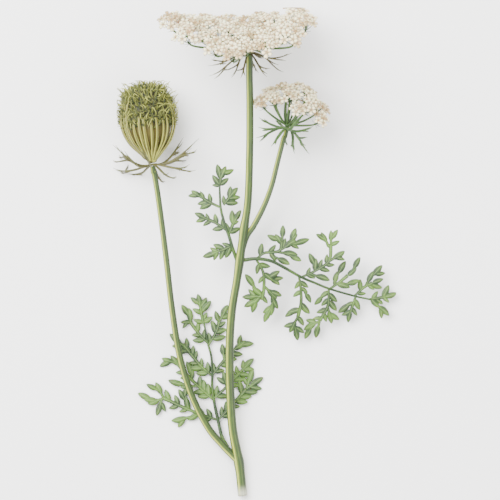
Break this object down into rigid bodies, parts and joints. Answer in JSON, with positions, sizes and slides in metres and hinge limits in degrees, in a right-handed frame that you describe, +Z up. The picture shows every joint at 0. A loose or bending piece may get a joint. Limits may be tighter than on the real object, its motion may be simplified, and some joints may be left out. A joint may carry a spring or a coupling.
{
  "type": "queen annes lace flower",
  "caption": "Cut Queen Anne's lace stem with a large open umbel, a small domed umbel, a closed seed head and fern-like leaves, laid on a surface.",
  "frame": {"origin": "middle of the bounding box, on the surface that the stem lies on", "axes": "+Y runs along the stem from its cut end to the large umbel, +X to the right of the plant seen from above, +Z up"},
  "size_m": [0.1712, 0.2942, 0.0874],
  "materials": {
    "stem": "ribbed mid-green plant stem, matte",
    "main_umbel_rays": "green plant stalks, matte",
    "main_umbel_florets": "cream petals, matte",
    "main_umbel_bracts": "olive-brown thread-like bracts, matte",
    "side_umbel_rays": "green plant stalks, matte",
    "side_umbel_florets": "cream petals, matte",
    "side_umbel_bracts": "green forked bracts, matte",
    "seed_head_rays": "olive-yellow dry stalks, matte",
    "seed_head_fruits": "olive bristly fruits, matte",
    "seed_head_bracts": "olive thread-like bracts, matte",
    "leaf_right": "soft green leaf, matte",
    "leaf_upper_left": "soft green leaf, matte",
    "leaf_lower": "soft green leaf, matte"
  },
  "bodies": {
    "root": {"stem": "stem", "main_umbel_rays": "main_umbel_rays", "main_umbel_florets": "main_umbel_florets", "main_umbel_bracts": "main_umbel_bracts", "side_umbel_rays": "side_umbel_rays", "side_umbel_florets": "side_umbel_florets", "side_umbel_bracts": "side_umbel_bracts", "seed_head_rays": "seed_head_rays", "seed_head_fruits": "seed_head_fruits", "seed_head_bracts": "seed_head_bracts", "leaf_right": "leaf_right", "leaf_upper_left": "leaf_upper_left", "leaf_lower": "leaf_lower"}
  },
  "joints": []
}
